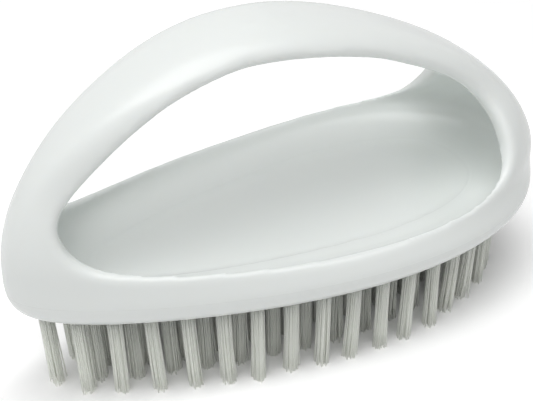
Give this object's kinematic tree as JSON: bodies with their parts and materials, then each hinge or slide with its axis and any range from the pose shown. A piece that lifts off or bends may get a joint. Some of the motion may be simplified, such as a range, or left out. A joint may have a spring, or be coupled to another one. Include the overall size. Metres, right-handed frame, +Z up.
{
  "type": "palm brush",
  "caption": "Hand scrubbing brush: an oval white block with a dished top and an arched strap handle over it, and round bristle tufts set in its underside.",
  "frame": {"origin": "on the floor under the middle of the brush, in the plane of the bristle tips", "axes": "+X along the brush towards its wide end, +Y across it, +Z up through the strap"},
  "size_m": [0.1302, 0.0604, 0.0821],
  "materials": {
    "moulding": "glossy white moulded plastic",
    "bristle": "white synthetic filament",
    "anchor": "plain flat wire"
  },
  "bodies": {
    "root": {"handle_block": "moulding", "tuft_anchors": "anchor", "tuft_outer_01": "bristle", "tuft_outer_02": "bristle", "tuft_outer_03": "bristle", "tuft_outer_04": "bristle", "tuft_outer_05": "bristle", "tuft_outer_06": "bristle", "tuft_outer_07": "bristle", "tuft_outer_08": "bristle", "tuft_outer_09": "bristle", "tuft_outer_10": "bristle", "tuft_outer_11": "bristle", "tuft_outer_12": "bristle", "tuft_outer_13": "bristle", "tuft_outer_14": "bristle", "tuft_outer_15": "bristle", "tuft_outer_16": "bristle", "tuft_outer_17": "bristle", "tuft_outer_18": "bristle", "tuft_outer_19": "bristle", "tuft_outer_20": "bristle", "tuft_outer_21": "bristle", "tuft_outer_22": "bristle", "tuft_outer_23": "bristle", "tuft_outer_24": "bristle", "tuft_outer_25": "bristle", "tuft_outer_26": "bristle", "tuft_outer_27": "bristle", "tuft_outer_28": "bristle", "tuft_outer_29": "bristle", "tuft_outer_30": "bristle", "tuft_outer_31": "bristle", "tuft_outer_32": "bristle", "tuft_outer_33": "bristle", "tuft_outer_34": "bristle", "tuft_outer_35": "bristle", "tufts_middle_row": "bristle", "tufts_second_row": "bristle", "tufts_third_row": "bristle"}
  },
  "joints": []
}
